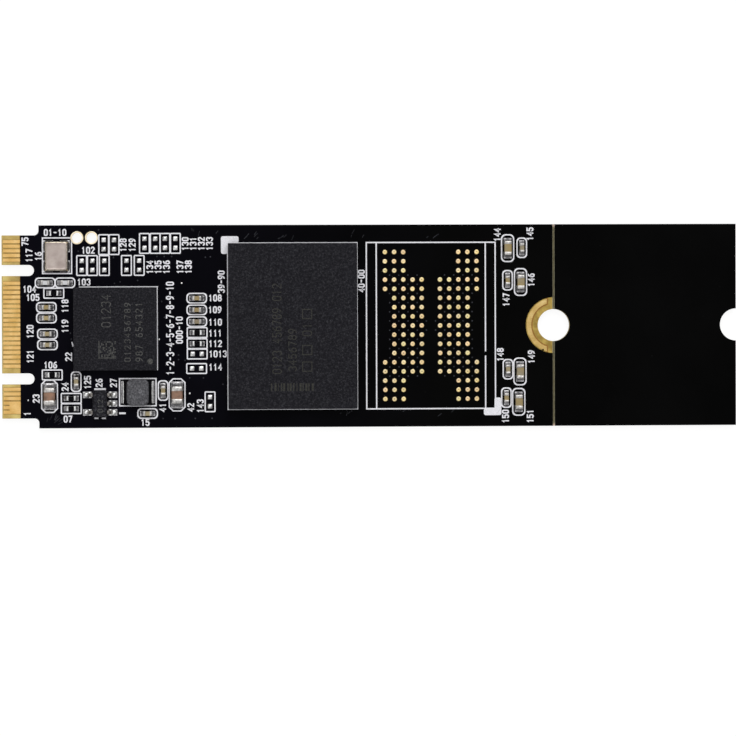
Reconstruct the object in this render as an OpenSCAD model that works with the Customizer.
// Solid state drive card: component side up (+Z), edge connector towards -X, long axis along X.
// The origin is on the underside, at the middle of the connector's leading edge. Millimetres.

/* [Card] */
// Length of the whole card, with its snap-off end
card_len = 80; // [72:1:110]
// Width of the card
card_w = 22; // [22:0.5:26]
// Thickness over both solder masks
card_t = 0.8; // [0.6:0.05:1.6]
// Thickness of the copper foil, and of the solder mask that lies level with it
foil_t = 0.035; // [0.02:0.005:0.07]
// Distance from the connector's leading edge to the score line
score_x = 60; // [60:0.5:66]
// Width of the score groove at the card's surface
score_w = 0.22; // [0.1:0.02:0.4]
// Thickness of the web that the two score grooves leave
score_web = 0.27; // [0.15:0.01:0.4]

/* [Edge connector] */
// Width of the tongue that enters the socket
tongue_w = 19.85; // [19.5:0.05:20]
// Length of the tongue
tongue_len = 4; // [3.6:0.1:5]
// Radius in the corner beside the tongue
tongue_corner_r = 0.5; // [0.2:0.1:0.9]
// Width of each key slot
key_w = 1.2; // [1:0.05:1.25]
// Depth of each key slot from the leading edge
key_depth = 3.5; // [3:0.1:3.8]
// Offset from the centreline of the key slot on the +Y side
key_m_y = 6.125; // [6:0.125:6.25]
// Offset from the centreline of the key slot on the -Y side
key_b_y = -5.625; // [-5.75:0.125:-5.5]
// Width of one contact
contact_w = 0.35; // [0.25:0.01:0.4]
// Distance from the leading edge to the far end of the contacts, where the mask begins
contact_end = 2; // [1.6:0.05:2.5]
// Length of the bevel on the leading edge
bevel_len = 0.13; // [0.1:0.01:0.3]

/* [Holes] */
// Radius of the screw hole and of the half-round notch at the far end
screw_r = 1.75; // [1.5:0.05:2]
// Inner radius of the gold ground arc beside the screw hole
ground_r_in = 2.45; // [2.2:0.05:2.6]
// Outer radius of the gold ground arc
ground_r_out = 2.95; // [2.8:0.05:3.2]
// Bore radius of the two plated holes
via_r = 0.55; // [0.3:0.05:0.6]
// Outer radius of the rings around the two plated holes
via_ring_r = 0.7; // [0.65:0.05:0.75]

/* [Silkscreen] */
// Thickness of the printed white ink
ink_t = 0.015; // [0.01:0.005:0.03]
// Width of the printed lines
ink_w = 0.14; // [0.1:0.01:0.18]
// Width of the thinner lines beside the two chips
thin_ink_w = 0.1; // [0.08:0.01:0.14]

/* [Controller] */
// Side of the square controller package
ctrl_side = 9; // [8:0.5:9]
// Thickness of the controller's moulded cover
ctrl_mould_t = 0.6; // [0.5:0.05:1]
// Solder balls along one side of the controller
ctrl_balls = 12; // [8:1:12]

/* [Flash memory] */
// Width of the flash package, along X
flash_w = 14; // [13:0.5:14]
// Length of the flash package, along Y
flash_l = 18; // [17.5:0.5:18]
// Thickness of the flash package's moulded cover
flash_mould_t = 0.65; // [0.6:0.05:1]
// Number of memory dies in the stack
flash_die_count = 4; // [1:1:4]

/* [Hidden] */

$fn = 48;
eps = 0.01;
core_t = card_t - 2 * foil_t;
core_top = card_t - foil_t;
score_depth = (card_t - score_web) / 2;
mask_end = score_x - score_w / 2;
tab_start = score_x + score_w / 2;
ground_opening_r = ground_r_out + 0.1;
ground_arc_end = 0.75;
// Small plated hole that ties both ground arcs together
stitch_at = [58.83, -2.7];
stitch_r = 0.1;
via_wall = 0.025;
via_places = [[8.15, 9.65], [9.72, 9.65]];

// Contacts: the odd-numbered ones are on top and the even ones below, half a pitch apart
contact_pitch = 0.5;
odd_first_y = -9.25;
even_first_y = -9;
odd_contacts = [for (n = [1:2:75]) if (n <= 11 || (n >= 21 && n <= 57) || n >= 67) n];
even_contacts = [for (n = [2:2:74]) if (n <= 10 || (n >= 20 && n <= 58) || n >= 68) n];
// The three lowest odd contacts are one wide contact, slit at its front
joined_last = 5;
joined_slit_len = 0.65;

// Two-terminal parts: length, width and height of the block, length of one metal end, solder run-out
small_part = [1, 0.5, 0.5, 0.25, 0.32];
medium_part = [1.6, 0.8, 0.8, 0.38, 0.3];
bulk_part = [2, 1.25, 1.1, 0.56, 0.45];
chip_resistor = [1, 0.5, 0.35, 0.2, 0.3];
cap_wall = 0.02;
film_t = 0.02;
pad_tuck = 0.05;
pad_margin = 0.04;
// Solder climbs to this share of a part's height, or of its run-out, and sags at this share of both
solder_climb = 0.7;
solder_slope = 1.2;
solder_sag = 0.35;

// Places of the parts: x, y and the turn of the long axis away from X
small_capacitors = [
  [4.7, 4.78, 0], [6.85, 4.78, 0], [4.82, 2.12, 0], [4.82, 0.96, 0], [4.92, -0.76, 0], [4.92, -1.94, 0],
  [21.1, 3.06, 0], [21.1, 1.79, 0], [21.1, 0.52, 0], [15.72, -9.44, 0], [8, -5.95, 90],
  [17.41, -6.95, 90], [56.53, 8.44, 90], [54.96, 4.9, 90], [54.98, -4.8, 90], [54.8, -7.9, 90]
];
medium_capacitors = [[54.98, 8.4, 90], [56.38, 4.71, 90], [56.29, -5.05, 90], [56.15, -8.36, 90]];
bulk_capacitors = [[5.12, -7.53, 90], [18.93, -7.43, 90]];
resistors = [
  [5.63, 3.65, 0], [5.42, -5.2, 0], [7.46, -7.75, 0], [7.46, -8.87, 0], [21.13, -0.67, 0], [21.13, -1.88, 0]
];
empty_sites = [
  [11.05, 8.9, 90], [12.17, 8.9, 90], [15.46, 9.02, 90], [16.63, 9.02, 90], [17.68, 9.02, 90],
  [18.81, 9.02, 90], [8.66, 6.64, 90], [9.81, 6.64, 90], [11.1, 6.64, 90], [13.5, 6.64, 90],
  [14.88, 6.64, 90], [21.13, -3, 0], [21.06, -4.58, 0], [22.5, -8.2, 90]
];
empty_pad_side = 0.48;
empty_pad_pitch = 1;

// Printed frames: outer length, outer width and corner size
small_frame = [2.25, 1.17, 0.42];
medium_frame = [3.05, 1.46, 0.5];
bulk_frame = [3.62, 1.84, 0.45];
square_frame = [2.28, 1.2, 0.1];
// Printed frame of the crystal: its middle and its size
crystal_frame_at = [6, 7.71];
crystal_frame = [3.28, 4];
// Printed bars at the ends of the regulator, one above and two below, and the tick beside the inductor
reg_bar = [1.27, 0.2];
reg_bar_gap = 0.12;
reg_dash = [0.44, 0.16];
reg_dash_x = 0.4;
reg_dash_gap = 0.14;
ind_tick = [0.72, 0.2];
ind_tick_at = [13, -9.4];
// Printed lines on two sides of the controller, and the slanted tick beside its first row
ctrl_line_start = 0.6;
ctrl_line_end = 0.16;
ctrl_line_gap = 0.02;
ctrl_tick = [0.12, 0.55];
ctrl_tick_offset = [-0.12, -1.65];
ctrl_tick_turn = 15;

// Controller package
ctrl_at = [12.25, -0.24];
ctrl_substrate_t = 0.3;
ctrl_die = [4.6, 4.2, 0.28];
ctrl_pitch = 0.65;
ctrl_ball_h = 0.25;
ctrl_ball_r = 0.17;
ctrl_substrate_z = card_t + ctrl_ball_h;
ctrl_cover_z = ctrl_substrate_z + ctrl_substrate_t;

// Flash package and the bare site for a second one
flash_at = [31.5, 0];
spare_at = [46.58, 0];
flash_substrate_t = 0.25;
flash_die = [10.6, 13, 0.1];
flash_die_step = 0.35;
film_under_die_t = 0.02;
flash_ball_h = 0.3;
flash_ball_r = 0.24;
flash_substrate_z = card_t + flash_ball_h;
flash_cover_z = flash_substrate_z + flash_substrate_t;
spare_pad_r = 0.26;
flash_rows = 8;
flash_cols = 5;
spare_frame = [14.2, 18.25];
spare_inner_x = 6.02;
spare_gap = [-3.29, -2.84];
// L-shaped corner marks: arm, width of the arm and corner radius, with their outer corners
corner_mark = [1.92, 0.75, 0.22];
flash_mark_at = [23.75, 9.78];
spare_mark_at = [54.25, -9.8];

// Crystal: ceramic case with a metal lid, long side along Y
crystal_at = [5.93, 7.65];
crystal_size = [2.5, 3.2, 0.6];
crystal_cavity = [1.7, 2.3, 0.4];
crystal_ledge = 0.45;
crystal_rim = 0.14;
crystal_lid_t = 0.08;
crystal_notch_r = 0.18;
crystal_blank_size = [1.3, 1.9, 0.06];
crystal_pad = [1.05, 1.3];
crystal_pad_at = [0.92, 1.1];
crystal_terminal = [0.8, 1, 0.03];
crystal_terminal_at = [0.8, 1.05];
crystal_case_z = card_t + crystal_terminal[2];

// Regulator: five-lead moulded case, long side along Y
reg_at = [10.58, -8.34];
reg_case = [1.6, 2.9, 1.1];
reg_standoff = 0.06;
reg_lead = [0.4, 0.14];
reg_foot_len = 0.42;
reg_lead_z = 0.5;
reg_span = 2.9;
reg_pitch = 0.95;
reg_pad = [0.92, 0.68];
reg_paddle = [0.95, 1.5];
reg_die_size = [0.75, 1.1, 0.25];
// How far the leads run into the case, and the bead of solder beyond each foot
reg_root = 0.25;
reg_bead = [0.34, 0.6];

// Inductor: flanged ferrite drum with its winding, metal ends along X
ind_at = [14.67, -7.12];
ind_base = [3.1, 2.75, 0.3];
ind_top = [2.4, 2.9, 0.3];
ind_height = 1.2;
ind_post_r = 0.7;
ind_wire_r = 0.055;
ind_layers = 3;
ind_chamfer = 0.35;
ind_terminal_t = 0.06;
ind_terminal_foot = 0.55;
ind_terminal_len = 2.4;
ind_frame = [4.1, 3.1];
ind_solder = 0.13;
ind_z = card_t + ind_terminal_t;
ind_window = ind_height - ind_base[2] - ind_top[2];

function odd_y(n) = odd_first_y + contact_pitch * (n - 1) / 2;
function even_y(n) = even_first_y + contact_pitch * (n - 2) / 2;

// True where a ball of the flash pattern is fitted, for a column and a row counted from the centre
function flash_ball(c, r) =
  c != 0 && (abs(r) <= 3 ? abs(c) <= 4 : abs(r) <= 5 ? true : abs(c) >= 3);
flash_grid = [
  for (c = [-flash_cols:flash_cols], r = [-flash_rows:flash_rows]) if (flash_ball(c, r)) [c, r]
];
ctrl_grid = [
  for (i = [0:ctrl_balls - 1], j = [0:ctrl_balls - 1])
    [i - (ctrl_balls - 1) / 2, j - (ctrl_balls - 1) / 2] * ctrl_pitch
];

// ---- helpers ----

module place_all(places) {
  for (p = places) translate([p[0], p[1], 0]) rotate([0, 0, p[2]]) children();
}

module centred_square(w, l) {
  translate([-w / 2, -l / 2]) square([w, l]);
}

module centred_box(size) {
  translate([-size[0] / 2, -size[1] / 2, 0]) cube(size);
}

module rounded_rect(w, l, r) {
  centred_square(w - 2 * r, l);
  centred_square(w, l - 2 * r);
  for (x = [-1, 1], y = [-1, 1]) translate([x * (w / 2 - r), y * (l / 2 - r)]) circle(r = r);
}

module chamfered_rect(w, l, c) {
  polygon([
    [c - w / 2, -l / 2], [w / 2 - c, -l / 2], [w / 2, c - l / 2], [w / 2, l / 2 - c],
    [w / 2 - c, l / 2], [c - w / 2, l / 2], [-w / 2, l / 2 - c], [-w / 2, c - l / 2]
  ]);
}

// A printed frame with round corners, given its outer length, width and corner radius
module round_frame(f) {
  difference() {
    rounded_rect(f[0], f[1], f[2]);
    rounded_rect(f[0] - 2 * ink_w, f[1] - 2 * ink_w, f[2] - ink_w / 2);
  }
}

module chamfered_frame(f) {
  difference() {
    chamfered_rect(f[0], f[1], f[2]);
    chamfered_rect(f[0] - 2 * ink_w, f[1] - 2 * ink_w, f[2] - ink_w / 2);
  }
}

module square_frame_2d(w, l, line) {
  difference() {
    centred_square(w, l);
    centred_square(w - 2 * line, l - 2 * line);
  }
}

// ---- card outline ----

module key_slot(y) {
  translate([-eps, y - key_w / 2]) square([key_depth - key_w / 2 + eps, key_w]);
  translate([key_depth - key_w / 2, y]) circle(r = key_w / 2);
}

// Fillet in the corner between the tongue and the shoulder, for the +Y side
module tongue_corner() {
  difference() {
    translate([tongue_len - tongue_corner_r, tongue_w / 2 - eps])
      square([tongue_corner_r + eps, tongue_corner_r + eps]);
    translate([tongue_len - tongue_corner_r, tongue_w / 2 + tongue_corner_r]) circle(r = tongue_corner_r);
  }
}

module board_outline() {
  difference() {
    union() {
      translate([0, -tongue_w / 2]) square([tongue_len, tongue_w]);
      translate([tongue_len, -card_w / 2]) square([score_x - tongue_len, card_w]);
      for (m = [0, 1]) mirror([0, m]) tongue_corner();
    }
    key_slot(key_m_y);
    key_slot(key_b_y);
    translate([score_x, 0]) circle(r = screw_r);
    translate(stitch_at) circle(r = stitch_r);
  }
}

module tab_outline() {
  difference() {
    translate([score_x, -card_w / 2]) square([card_len - score_x, card_w]);
    translate([score_x, 0]) circle(r = screw_r);
    translate([card_len, 0]) circle(r = screw_r);
  }
}

// The two V grooves of the score line
module score_grooves() {
  for (z = [0, 1])
    translate([score_x, card_w / 2 + 1, z * card_t]) mirror([0, 0, 1 - z]) rotate([90, 0, 0])
      linear_extrude(card_w + 2) polygon([[-score_w / 2, 0], [0, -score_depth], [score_w / 2, 0]]);
}

// The slopes that take off both long corners of the leading edge
module leading_bevels() {
  for (z = [0, 1])
    translate([0, card_w / 2, z * card_t]) mirror([0, 0, 1 - z]) rotate([90, 0, 0])
      linear_extrude(card_w) polygon([
        [-eps, eps], [bevel_len + eps, eps], [bevel_len, -foil_t], [0, -foil_t - bevel_len],
        [-eps, -foil_t - bevel_len]
      ]);
}

module board_core() {
  color("darkkhaki") difference() {
    translate([0, 0, foil_t]) linear_extrude(core_t) board_outline();
    score_grooves();
    leading_bevels();
    for (p = via_places) translate([p[0], p[1], -eps]) cylinder(r = via_r + via_wall, h = card_t + 2 * eps);
  }
}

module tab_core() {
  color("darkkhaki") difference() {
    translate([0, 0, foil_t]) linear_extrude(core_t) tab_outline();
    score_grooves();
  }
}

// ---- copper features, drawn flat ----

module contact(y) {
  translate([bevel_len, y - contact_w / 2]) square([contact_end - bevel_len, contact_w]);
}

module contacts_top_2d() {
  for (n = odd_contacts) if (n > joined_last) contact(odd_y(n));
  difference() {
    translate([bevel_len, odd_y(1) - contact_w / 2])
      square([contact_end - bevel_len, odd_y(joined_last) - odd_y(1) + contact_w]);
    for (n = [1, 3])
      translate([bevel_len - eps, odd_y(n) + contact_w / 2])
        square([joined_slit_len + eps, contact_pitch - contact_w]);
  }
}

module contacts_bottom_2d() {
  for (n = even_contacts) contact(even_y(n));
}

module ground_arc_2d() {
  difference() {
    translate([score_x, 0]) circle(r = ground_r_out);
    translate([score_x, 0]) circle(r = ground_r_in);
    translate(stitch_at) circle(r = stitch_r);
    translate([score_x - ground_arc_end, -card_w / 2]) square([card_w, card_w]);
  }
}

// The pair of pads under a two-terminal part, which reach out to the end of its solder
module part_pads(part) {
  pad_len = part[3] + part[4] + pad_tuck;
  for (s = [-1, 1])
    translate([s * (part[0] / 2 + part[4] - pad_len / 2), 0]) centred_square(pad_len, part[1] + pad_margin);
}

module empty_pads_2d() {
  place_all(empty_sites)
    for (s = [-1, 1]) translate([s * empty_pad_pitch / 2, 0]) centred_square(empty_pad_side, empty_pad_side);
}

module reg_pads_2d() {
  reg_places() translate([(reg_span + reg_pad[0]) / 2 - reg_foot_len - 0.1, 0])
    centred_square(reg_pad[0], reg_pad[1]);
}

module component_pads_2d() {
  place_all(small_capacitors) part_pads(small_part);
  place_all(medium_capacitors) part_pads(medium_part);
  place_all(bulk_capacitors) part_pads(bulk_part);
  place_all(resistors) part_pads(chip_resistor);
  translate(crystal_at)
    for (x = [-1, 1], y = [-1, 1])
      translate([x * crystal_pad_at[0], y * crystal_pad_at[1]])
        centred_square(crystal_pad[0], crystal_pad[1]);
  reg_pads_2d();
  translate(ind_at)
    for (s = [-1, 1])
      translate([s * (ind_base[0] / 2 - ind_terminal_foot / 2 + ind_solder), 0])
        centred_square(ind_terminal_foot + 0.2, ind_terminal_len);
}

module flash_field(at, r) {
  for (g = flash_grid) translate([at[0] + g[0], at[1] + g[1]]) circle(r = r);
}

module ctrl_field() {
  for (g = ctrl_grid) translate([ctrl_at[0] + g[0], ctrl_at[1] + g[1]]) circle(r = ctrl_ball_r);
}

module on_top(t) {
  translate([0, 0, core_top]) linear_extrude(t) children();
}

module below() {
  linear_extrude(foil_t) children();
}

// ---- solder mask and copper ----

module mask_base_2d() {
  difference() {
    intersection() {
      board_outline();
      translate([contact_end, -card_w / 2]) square([mask_end - contact_end, card_w]);
    }
    translate([score_x, 0]) circle(r = ground_opening_r);
    for (p = via_places) translate(p) circle(r = via_ring_r);
  }
}

module solder_mask_top() {
  color([0.03, 0.03, 0.035]) on_top(foil_t) difference() {
    mask_base_2d();
    component_pads_2d();
    empty_pads_2d();
    flash_field(spare_at, spare_pad_r);
    flash_field(flash_at, flash_ball_r);
    ctrl_field();
  }
}

module solder_mask_bottom() {
  color([0.03, 0.03, 0.035]) below() mask_base_2d();
}

module edge_contacts_top() {
  color("gold") on_top(foil_t) contacts_top_2d();
}

module edge_contacts_bottom() {
  color("gold") below() contacts_bottom_2d();
}

module ground_arc_top() {
  color("gold") on_top(foil_t) ground_arc_2d();
}

module ground_arc_bottom() {
  color("gold") below() ground_arc_2d();
}

module plated_hole_barrels() {
  color("palegoldenrod") for (p = via_places) translate([p[0], p[1], 0]) difference() {
    union() {
      cylinder(r = via_r + via_wall, h = card_t);
      for (z = [0, core_top]) translate([0, 0, z]) cylinder(r = via_ring_r, h = foil_t);
    }
    translate([0, 0, -eps]) cylinder(r = via_r, h = card_t + 2 * eps);
  }
}

module component_pads() {
  color("silver") on_top(foil_t) component_pads_2d();
}

module empty_site_pads() {
  color("silver") on_top(foil_t) empty_pads_2d();
}

module spare_flash_pads() {
  color("wheat") on_top(foil_t) flash_field(spare_at, spare_pad_r);
}

module flash_pads() {
  color("wheat") on_top(foil_t) flash_field(flash_at, flash_ball_r);
}

module controller_pads() {
  color("wheat") on_top(foil_t) ctrl_field();
}

// ---- printed ink ----

module ink() {
  color("white") translate([0, 0, card_t]) linear_extrude(ink_t) children();
}

module ink_part_frames() {
  ink() {
    place_all(small_capacitors) round_frame(small_frame);
    place_all(medium_capacitors) round_frame(medium_frame);
    place_all(bulk_capacitors) chamfered_frame(bulk_frame);
    place_all(resistors) chamfered_frame(square_frame);
    place_all(empty_sites) chamfered_frame(square_frame);
    difference() {
      translate(crystal_frame_at) square_frame_2d(crystal_frame[0], crystal_frame[1], ink_w);
      for (p = via_places) translate(p) circle(r = via_ring_r + 0.03);
    }
    translate(ind_at) square_frame_2d(ind_frame[0], ind_frame[1], ink_w);
    translate([reg_at[0], reg_at[1] + reg_case[1] / 2 + reg_bar_gap]) centred_square(reg_bar[0], reg_bar[1]);
    for (s = [-1, 1])
      translate([reg_at[0] + s * reg_dash_x, reg_at[1] - reg_case[1] / 2 - reg_dash_gap])
        centred_square(reg_dash[0], reg_dash[1]);
    translate(ind_tick_at) centred_square(ind_tick[0], ind_tick[1]);
  }
}

// An L whose outer corner is at the origin, with its arms along +X and +Y
module corner_l(mark) {
  arm = mark[0];
  t = mark[1];
  translate([arm / 2, t / 2]) rounded_rect(arm, t, mark[2]);
  translate([t / 2, arm / 2]) rounded_rect(t, arm, mark[2]);
}

module ink_chip_frames() {
  ink() {
    translate([ctrl_at[0] - ctrl_side / 2 + ctrl_line_start, ctrl_at[1] + ctrl_side / 2 + ctrl_line_gap / 2])
      square([ctrl_side - ctrl_line_start + ctrl_line_end, thin_ink_w]);
    translate([ctrl_at[0] + ctrl_side / 2 + ctrl_line_gap, ctrl_at[1] - ctrl_side / 2])
      square([thin_ink_w, ctrl_side + thin_ink_w]);
    translate([ctrl_at[0] - ctrl_side / 2 + ctrl_tick_offset[0], ctrl_at[1] + ctrl_tick_offset[1]])
      rotate([0, 0, ctrl_tick_turn]) centred_square(ctrl_tick[0], ctrl_tick[1]);
    translate(flash_at) square_frame_2d(flash_w + 2 * thin_ink_w, flash_l + 2 * thin_ink_w, thin_ink_w);
    translate(flash_mark_at) mirror([0, 1]) corner_l(corner_mark);
    translate(spare_at) square_frame_2d(spare_frame[0], spare_frame[1], ink_w);
    translate([spare_at[0] - spare_inner_x, -spare_frame[1] / 2]) square([ink_w, spare_frame[1]]);
    difference() {
      translate([spare_at[0] + spare_inner_x - ink_w, -spare_frame[1] / 2]) square([ink_w, spare_frame[1]]);
      translate([spare_at[0] + spare_inner_x - 1, spare_gap[0]]) square([2, spare_gap[1] - spare_gap[0]]);
    }
    translate(spare_mark_at) mirror([1, 0]) corner_l(corner_mark);
  }
}

// ---- controller ----

module ball(r, h) {
  intersection() {
    translate([0, 0, h / 2]) sphere(r = r, $fn = 32);
    translate([-r, -r, 0]) cube([2 * r, 2 * r, h]);
  }
}

module controller_balls() {
  color("silver") for (g = ctrl_grid) translate([ctrl_at[0] + g[0], ctrl_at[1] + g[1], card_t])
    ball(ctrl_ball_r, ctrl_ball_h);
}

module controller_substrate() {
  color("olivedrab") translate([ctrl_at[0], ctrl_at[1], ctrl_substrate_z])
    centred_box([ctrl_side, ctrl_side, ctrl_substrate_t]);
}

module controller_die() {
  color("slategray") translate([ctrl_at[0], ctrl_at[1], ctrl_cover_z + film_under_die_t])
    centred_box(ctrl_die);
}

module controller_film() {
  translate([ctrl_at[0], ctrl_at[1], ctrl_cover_z]) centred_box([ctrl_die[0], ctrl_die[1], film_under_die_t]);
}

// The moulded cover, with a pocket that its die and film fill
module controller_cover() {
  color([0.14, 0.14, 0.15]) difference() {
    translate([ctrl_at[0], ctrl_at[1], ctrl_cover_z]) centred_box([ctrl_side, ctrl_side, ctrl_mould_t]);
    translate([ctrl_at[0], ctrl_at[1], ctrl_cover_z - eps])
      centred_box([ctrl_die[0], ctrl_die[1], ctrl_die[2] + film_under_die_t + eps]);
  }
}

// ---- flash memory ----

module flash_balls() {
  color("silver") for (g = flash_grid) translate([flash_at[0] + g[0], flash_at[1] + g[1], card_t])
    ball(flash_ball_r, flash_ball_h);
}

module flash_substrate() {
  color("olivedrab") translate([flash_at[0], flash_at[1], flash_substrate_z])
    centred_box([flash_w, flash_l, flash_substrate_t]);
}

// Places its children at one level of the die stack: each die steps sideways to leave its bond pads bare
module flash_level(i) {
  translate([
    flash_at[0] + (i - (flash_die_count - 1) / 2) * flash_die_step, flash_at[1],
    flash_cover_z + i * (flash_die[2] + film_under_die_t)
  ])
    children();
}

module flash_dies() {
  color("slategray") for (i = [0:flash_die_count - 1])
    flash_level(i) translate([0, 0, film_under_die_t]) centred_box(flash_die);
}

module flash_films() {
  for (i = [0:flash_die_count - 1])
    flash_level(i) centred_box([flash_die[0], flash_die[1], film_under_die_t]);
}

module flash_cover() {
  color([0.13, 0.13, 0.14]) difference() {
    translate([flash_at[0], flash_at[1], flash_cover_z]) centred_box([flash_w, flash_l, flash_mould_t]);
    for (i = [0:flash_die_count - 1])
      flash_level(i) translate([0, 0, i == 0 ? -eps : 0])
        centred_box([flash_die[0], flash_die[1], flash_die[2] + film_under_die_t + (i == 0 ? eps : 0)]);
  }
}

module die_attach_films() {
  color("peru") {
    controller_film();
    flash_films();
  }
}

// ---- crystal ----

module crystal_terminals() {
  color("gold") translate([crystal_at[0], crystal_at[1], card_t])
    for (x = [-1, 1], y = [-1, 1])
      translate([x * crystal_terminal_at[0], y * crystal_terminal_at[1], 0]) centred_box(crystal_terminal);
}

module crystal_case() {
  color("dimgray") translate([crystal_at[0], crystal_at[1], crystal_case_z]) difference() {
    centred_box(crystal_size);
    for (x = [-1, 1], y = [-1, 1])
      translate([x * crystal_size[0] / 2, y * crystal_size[1] / 2, -eps])
        cylinder(r = crystal_notch_r, h = crystal_size[2] + 2 * eps);
    // Cavity, with a ledge at one end that carries the blank
    translate([
      -crystal_cavity[0] / 2, -crystal_cavity[1] / 2 + crystal_ledge, crystal_size[2] - crystal_cavity[2]
    ])
      cube([crystal_cavity[0], crystal_cavity[1] - crystal_ledge, crystal_cavity[2] + eps]);
    translate([0, 0, crystal_size[2] - crystal_cavity[2] / 2])
      centred_box([crystal_cavity[0], crystal_cavity[1], crystal_cavity[2] / 2 + eps]);
  }
}

module crystal_blank() {
  color("aliceblue")
    translate([crystal_at[0], crystal_at[1] - 0.1, crystal_case_z + crystal_size[2] - crystal_cavity[2] / 2])
      centred_box(crystal_blank_size);
}

module crystal_lid() {
  color([0.72, 0.68, 0.64]) translate([crystal_at[0], crystal_at[1], crystal_case_z + crystal_size[2]])
    linear_extrude(crystal_lid_t)
      rounded_rect(crystal_size[0] - 2 * crystal_rim, crystal_size[1] - 2 * crystal_rim, 0.2);
}

// ---- regulator ----

// Stands its child at each of the five leads, with +X pointing away from the case
module reg_places() {
  translate(reg_at) {
    for (r = [-1, 0, 1]) translate([0, r * reg_pitch]) children();
    for (r = [-1, 1]) translate([0, r * reg_pitch]) mirror([1, 0]) children();
  }
}

// Side view of one lead: foot on the pad, rise, and the root that runs into the case
module lead_profile() {
  tip = reg_span / 2;
  t = reg_lead[1];
  heel = tip - reg_foot_len;
  polygon([
    [tip, 0], [tip, t], [heel + t, t], [heel, reg_lead_z + t], [reg_case[0] / 2 - reg_root, reg_lead_z + t],
    [reg_case[0] / 2 - reg_root, reg_lead_z], [heel - t, reg_lead_z], [heel, 0]
  ]);
}

module reg_lead_solid() {
  translate([0, reg_lead[0] / 2, card_t]) rotate([90, 0, 0]) linear_extrude(reg_lead[0]) lead_profile();
}

module reg_paddle_solid() {
  reach = reg_case[0] / 2 - reg_root - reg_paddle[0] / 2;
  translate([reg_at[0], reg_at[1], card_t + reg_lead_z]) {
    centred_box([reg_paddle[0], reg_paddle[1], reg_lead[1]]);
    translate([reg_paddle[0] / 2, -reg_lead[0] / 2, 0]) cube([reach, reg_lead[0], reg_lead[1]]);
  }
}

module reg_die_solid() {
  translate([reg_at[0], reg_at[1], card_t + reg_lead_z + reg_lead[1]]) centred_box(reg_die_size);
}

module regulator_leads() {
  color("silver") {
    reg_places() reg_lead_solid();
    reg_paddle_solid();
  }
}

module regulator_die() {
  color("slategray") reg_die_solid();
}

module regulator_case() {
  color([0.1, 0.1, 0.11]) difference() {
    translate([reg_at[0], reg_at[1], card_t + reg_standoff])
      centred_box([reg_case[0], reg_case[1], reg_case[2] - reg_standoff]);
    reg_places() reg_lead_solid();
    reg_paddle_solid();
    reg_die_solid();
  }
}

// ---- inductor ----

module inductor_core() {
  color("dimgray") translate([ind_at[0], ind_at[1], ind_z]) {
    centred_box(ind_base);
    cylinder(r = ind_post_r, h = ind_height - ind_top[2]);
    translate([0, 0, ind_height - ind_top[2]]) linear_extrude(ind_top[2])
      chamfered_rect(ind_top[0], ind_top[1], ind_chamfer);
  }
}

module inductor_winding() {
  pitch = 2 * ind_wire_r + 0.008;
  turns = floor(ind_window / pitch);
  color("chocolate") for (layer = [0:ind_layers - 1], turn = [0:turns - 1])
    translate([ind_at[0], ind_at[1], ind_z + ind_base[2] + (turn + 0.5) * pitch])
      rotate_extrude() translate([ind_post_r + (layer + 0.5) * pitch, 0]) circle(r = ind_wire_r, $fn = 16);
}

module inductor_terminals() {
  color("silver") for (m = [0, 1])
    translate([ind_at[0], ind_at[1], card_t]) mirror([m, 0, 0])
      translate([0, ind_terminal_len / 2, 0]) rotate([90, 0, 0]) linear_extrude(ind_terminal_len) polygon([
        [ind_base[0] / 2 - ind_terminal_foot, 0], [ind_base[0] / 2 + ind_terminal_t, 0],
        [ind_base[0] / 2 + ind_terminal_t, ind_base[2]], [ind_base[0] / 2, ind_base[2]],
        [ind_base[0] / 2, ind_terminal_t], [ind_base[0] / 2 - ind_terminal_foot, ind_terminal_t]
      ]);
}

// ---- two-terminal parts, long axis along X ----

// The ceramic block, which runs inside both metal ends
module chip_block(part) {
  translate([0, 0, card_t + cap_wall])
    centred_box([part[0] - 2 * cap_wall, part[1] - 2 * cap_wall, part[2] - 2 * cap_wall]);
}

module chip_caps(part) {
  difference() {
    for (s = [-1, 1])
      translate([s * (part[0] - part[3]) / 2, 0, card_t]) centred_box([part[3], part[1], part[2]]);
    chip_block(part);
  }
}

// Solder that wets up each metal end from the outer part of its pad
module chip_solder(part) {
  rise = min(part[2] * solder_climb, part[4] * solder_slope);
  for (m = [0, 1]) mirror([m, 0, 0])
    translate([part[0] / 2, part[1] / 2, card_t]) rotate([90, 0, 0]) linear_extrude(part[1])
      polygon([[0, 0], [part[4], 0], [part[4] * solder_sag, rise * solder_sag], [0, rise]]);
}

module small_capacitor_blocks() {
  color("tan") place_all(small_capacitors) chip_block(small_part);
}

module small_capacitor_caps() {
  color("silver") place_all(small_capacitors) chip_caps(small_part);
}

module medium_capacitor_blocks() {
  color("tan") place_all(medium_capacitors) chip_block(medium_part);
}

module medium_capacitor_caps() {
  color("silver") place_all(medium_capacitors) chip_caps(medium_part);
}

module bulk_capacitor_blocks() {
  color("sienna") place_all(bulk_capacitors) chip_block(bulk_part);
}

module bulk_capacitor_caps() {
  color("silver") place_all(bulk_capacitors) chip_caps(bulk_part);
}

module resistor_blocks() {
  color("white") place_all(resistors) chip_block(chip_resistor);
}

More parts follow.
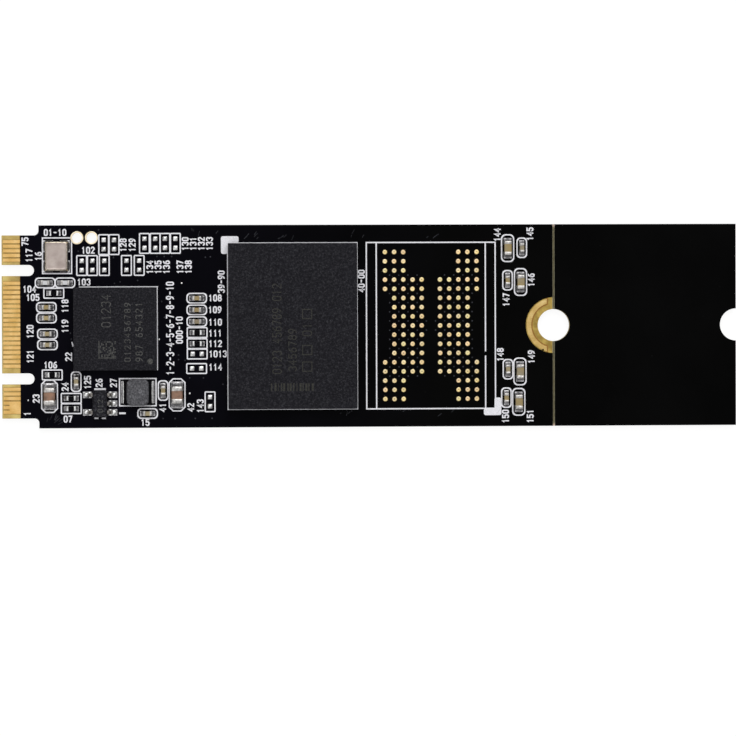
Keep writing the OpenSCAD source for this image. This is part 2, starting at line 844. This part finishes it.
module resistor_films() {
  color([0.06, 0.06, 0.06]) place_all(resistors)
    translate([0, 0, card_t + chip_resistor[2] - cap_wall])
      centred_box([chip_resistor[0] - 2 * chip_resistor[3], chip_resistor[1] - 2 * cap_wall, film_t]);
}

module resistor_caps() {
  color("silver") place_all(resistors) chip_caps(chip_resistor);
}

module solder_joints() {
  color("silver") {
    place_all(small_capacitors) chip_solder(small_part);
    place_all(medium_capacitors) chip_solder(medium_part);
    place_all(bulk_capacitors) chip_solder(bulk_part);
    place_all(resistors) chip_solder(chip_resistor);
    // Beads beyond the feet of the regulator and beside the metal ends of the inductor
    translate([0, 0, card_t]) linear_extrude(reg_lead[1])
      reg_places() translate([reg_span / 2, -reg_bead[1] / 2]) square(reg_bead);
    for (m = [0, 1])
      translate([ind_at[0], ind_at[1], card_t]) mirror([m, 0, 0])
        translate([ind_base[0] / 2 + ind_terminal_t, ind_terminal_len / 2, 0]) rotate([90, 0, 0])
          linear_extrude(ind_terminal_len) polygon([[0, 0], [ind_solder, 0], [0, ind_base[2]]]);
  }
}

// ---- snap-off end ----

module tab_mask_2d() {
  intersection() {
    tab_outline();
    translate([tab_start, -card_w / 2]) square([card_len - tab_start, card_w]);
  }
}

module tab_mask_top() {
  color([0.03, 0.03, 0.035]) on_top(foil_t) tab_mask_2d();
}

module tab_mask_bottom() {
  color([0.03, 0.03, 0.035]) below() tab_mask_2d();
}

board_core();
solder_mask_top();
solder_mask_bottom();
edge_contacts_top();
edge_contacts_bottom();
ground_arc_top();
ground_arc_bottom();
plated_hole_barrels();
component_pads();
empty_site_pads();
spare_flash_pads();
flash_pads();
controller_pads();
ink_part_frames();
ink_chip_frames();
controller_cover();
controller_substrate();
controller_die();
controller_balls();
flash_cover();
flash_substrate();
flash_dies();
flash_balls();
die_attach_films();
crystal_case();
crystal_lid();
crystal_blank();
crystal_terminals();
regulator_case();
regulator_leads();
regulator_die();
inductor_core();
inductor_winding();
inductor_terminals();
small_capacitor_blocks();
small_capacitor_caps();
medium_capacitor_blocks();
medium_capacitor_caps();
bulk_capacitor_blocks();
bulk_capacitor_caps();
resistor_blocks();
resistor_films();
resistor_caps();
solder_joints();
tab_core();
tab_mask_top();
tab_mask_bottom();
